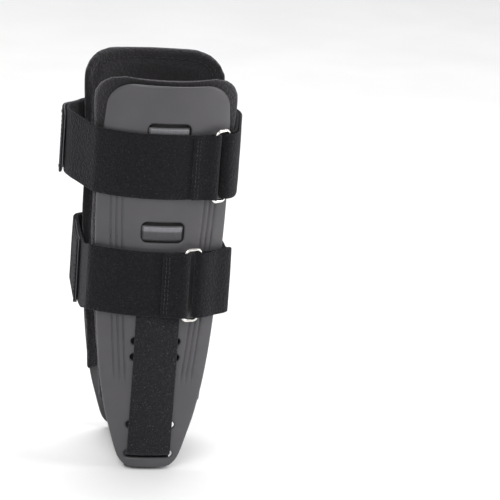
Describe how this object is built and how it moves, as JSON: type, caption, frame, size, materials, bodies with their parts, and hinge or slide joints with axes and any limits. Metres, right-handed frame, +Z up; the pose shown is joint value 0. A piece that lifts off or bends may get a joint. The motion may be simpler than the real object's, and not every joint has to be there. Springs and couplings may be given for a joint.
{
  "type": "ankle foot orthosis",
  "caption": "Rigid stirrup ankle brace: padded side shells joined by a strap under the heel and closed by hook-and-loop wrap straps with metal rings.",
  "frame": {"origin": "middle of the heel strap's underside, on the floor", "axes": "+X to the toes, -Y to the lateral side that carries the rings, +Z up the leg"},
  "size_m": [0.1026, 0.1022, 0.232],
  "materials": {
    "shell_plastic": "satin moulded plastic",
    "strap_fabric": "brushed loop pile",
    "heel_webbing": "coarse loop pile",
    "pad_cloth": "brushed knit",
    "pad_foam": "open-cell foam",
    "hook_tape": "moulded hooks",
    "window_webbing": "ribbed weave",
    "ring_steel": "bright nickel"
  },
  "bodies": {
    "lateral_side": {"lateral_shell": "shell_plastic", "lateral_window_bands": "window_webbing", "lateral_pad_hook_patches": "hook_tape", "lateral_heel_hook_patches": "hook_tape", "lateral_strap_hook_patches": "hook_tape", "lateral_pad_backing": "pad_cloth", "lateral_pad_foam": "pad_foam", "lateral_pad_lining": "pad_cloth", "heel_strap": "heel_webbing", "upper_strap_lateral": "strap_fabric", "upper_strap_front": "strap_fabric", "lower_strap_lateral": "strap_fabric", "lower_strap_front": "strap_fabric"},
    "medial_side": {"medial_shell": "shell_plastic", "medial_window_bands": "window_webbing", "medial_pad_hook_patches": "hook_tape", "medial_heel_hook_patches": "hook_tape", "medial_strap_hook_patches": "hook_tape", "medial_pad_backing": "pad_cloth", "medial_pad_foam": "pad_foam", "medial_pad_lining": "pad_cloth", "heel_strap_medial_tail": "heel_webbing", "upper_strap_medial": "strap_fabric", "upper_strap_return": "strap_fabric", "lower_strap_medial": "strap_fabric", "lower_strap_return": "strap_fabric"},
    "upper_ring": {"upper_ring": "ring_steel"},
    "lower_ring": {"lower_ring": "ring_steel"},
    "upper_tab": {"upper_hook_tab": "hook_tape"},
    "lower_tab": {"lower_hook_tab": "hook_tape"}
  },
  "joints": [
    {"name": "side_opening", "type": "hinge", "parent": "lateral_side", "child": "medial_side", "pos_m": [0, 0.03228, 0.0007], "axis": [-1, 0, 0], "range_deg": [0, 15]},
    {"name": "upper_ring_pivot", "type": "hinge", "parent": "lateral_side", "child": "upper_ring", "pos_m": [0.027, -0.04431, 0.181], "axis": [0, -0.0545, 0.9985], "range_deg": [-4, 4]},
    {"name": "upper_tab_peel", "type": "hinge", "parent": "medial_side", "child": "upper_tab", "pos_m": [-0.04191, 0.03385, 0.181], "axis": [0.0389, 0.024, -0.999], "range_deg": [0, 60]},
    {"name": "lower_ring_pivot", "type": "hinge", "parent": "lateral_side", "child": "lower_ring", "pos_m": [0.0135, -0.04803, 0.1125], "axis": [0, 0.0061, 1], "range_deg": [-4, 4]},
    {"name": "lower_tab_peel", "type": "hinge", "parent": "medial_side", "child": "lower_tab", "pos_m": [-0.04225, 0.02707, 0.1125], "axis": [0, 0, -1], "range_deg": [0, 60]}
  ]
}
